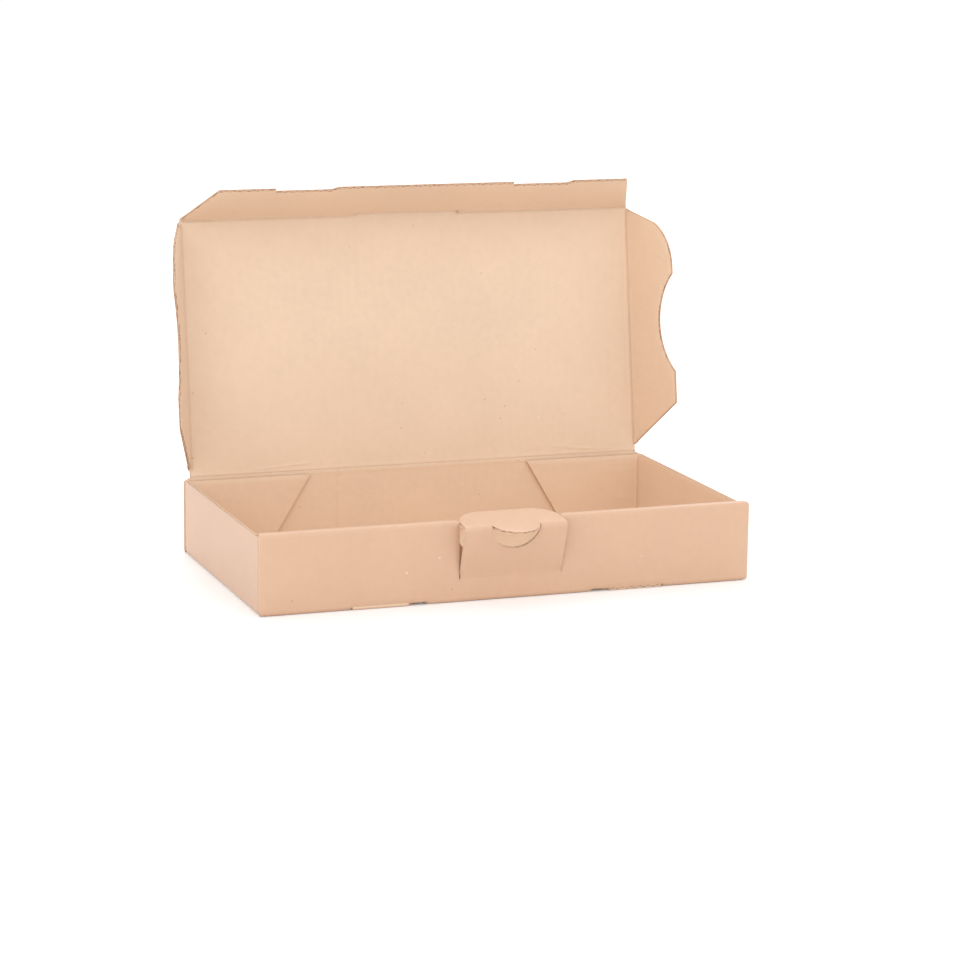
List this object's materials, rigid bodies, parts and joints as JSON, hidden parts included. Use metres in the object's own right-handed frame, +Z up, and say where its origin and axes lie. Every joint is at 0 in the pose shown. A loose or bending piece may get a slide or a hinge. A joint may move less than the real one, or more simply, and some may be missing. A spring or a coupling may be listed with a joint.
{
  "type": "large letter mailer box",
  "caption": "Shallow corrugated mailer box, folded from one sheet, open, with a hinged lid, tuck flap, wavy ears and a lock tab in the front.",
  "frame": {"origin": "middle of the underside of the base", "axes": "+X along the width to the right seen from the front, +Y from the front wall to the back wall, +Z up"},
  "size_m": [0.3384, 0.2205, 0.2346],
  "materials": {
    "kraft_outside": "matte",
    "kraft_inside": "matte"
  },
  "bodies": {
    "tray": {"tray": "kraft_outside"},
    "lid": {"lid": "kraft_inside"},
    "tuck_flap": {"tuck_flap": "kraft_inside"},
    "left_ear": {"left_ear": "kraft_inside"},
    "right_ear": {"right_ear": "kraft_inside"},
    "lock_tab": {"lock_tab": "kraft_outside"}
  },
  "joints": [
    {"name": "lid_hinge", "type": "hinge", "parent": "tray", "child": "lid", "pos_m": [0, 0.08625, 0.04875], "axis": [1, 0, 0], "range_deg": [-98, 98.6]},
    {"name": "tuck_flap_fold", "type": "hinge", "parent": "lid", "child": "tuck_flap", "pos_m": [0, 0.11078, 0.21096], "axis": [1, 0, 0], "range_deg": [-68.5, 43.5]},
    {"name": "left_ear_fold", "type": "hinge", "parent": "lid", "child": "left_ear", "pos_m": [-0.1539, 0.08625, 0.04875], "axis": [0, 0.1495, 0.9888], "range_deg": [-70, 50]},
    {"name": "right_ear_fold", "type": "hinge", "parent": "lid", "child": "right_ear", "pos_m": [0.1539, 0.08625, 0.04875], "axis": [0, -0.1495, -0.9888], "range_deg": [-73.5, 46.5]},
    {"name": "lock_tab_fold", "type": "hinge", "parent": "tray", "child": "lock_tab", "pos_m": [0, -0.08625, 0.015], "axis": [1, 0, 0], "range_deg": [-18, 24]}
  ],
  "couplings": [
    {"joint": "tuck_flap_fold", "follows": "lid_hinge", "ratio": 0.42},
    {"joint": "left_ear_fold", "follows": "lid_hinge", "ratio": 0.45},
    {"joint": "right_ear_fold", "follows": "lid_hinge", "ratio": 0.365},
    {"joint": "lock_tab_fold", "follows": "lid_hinge", "ratio": 0.1837}
  ]
}
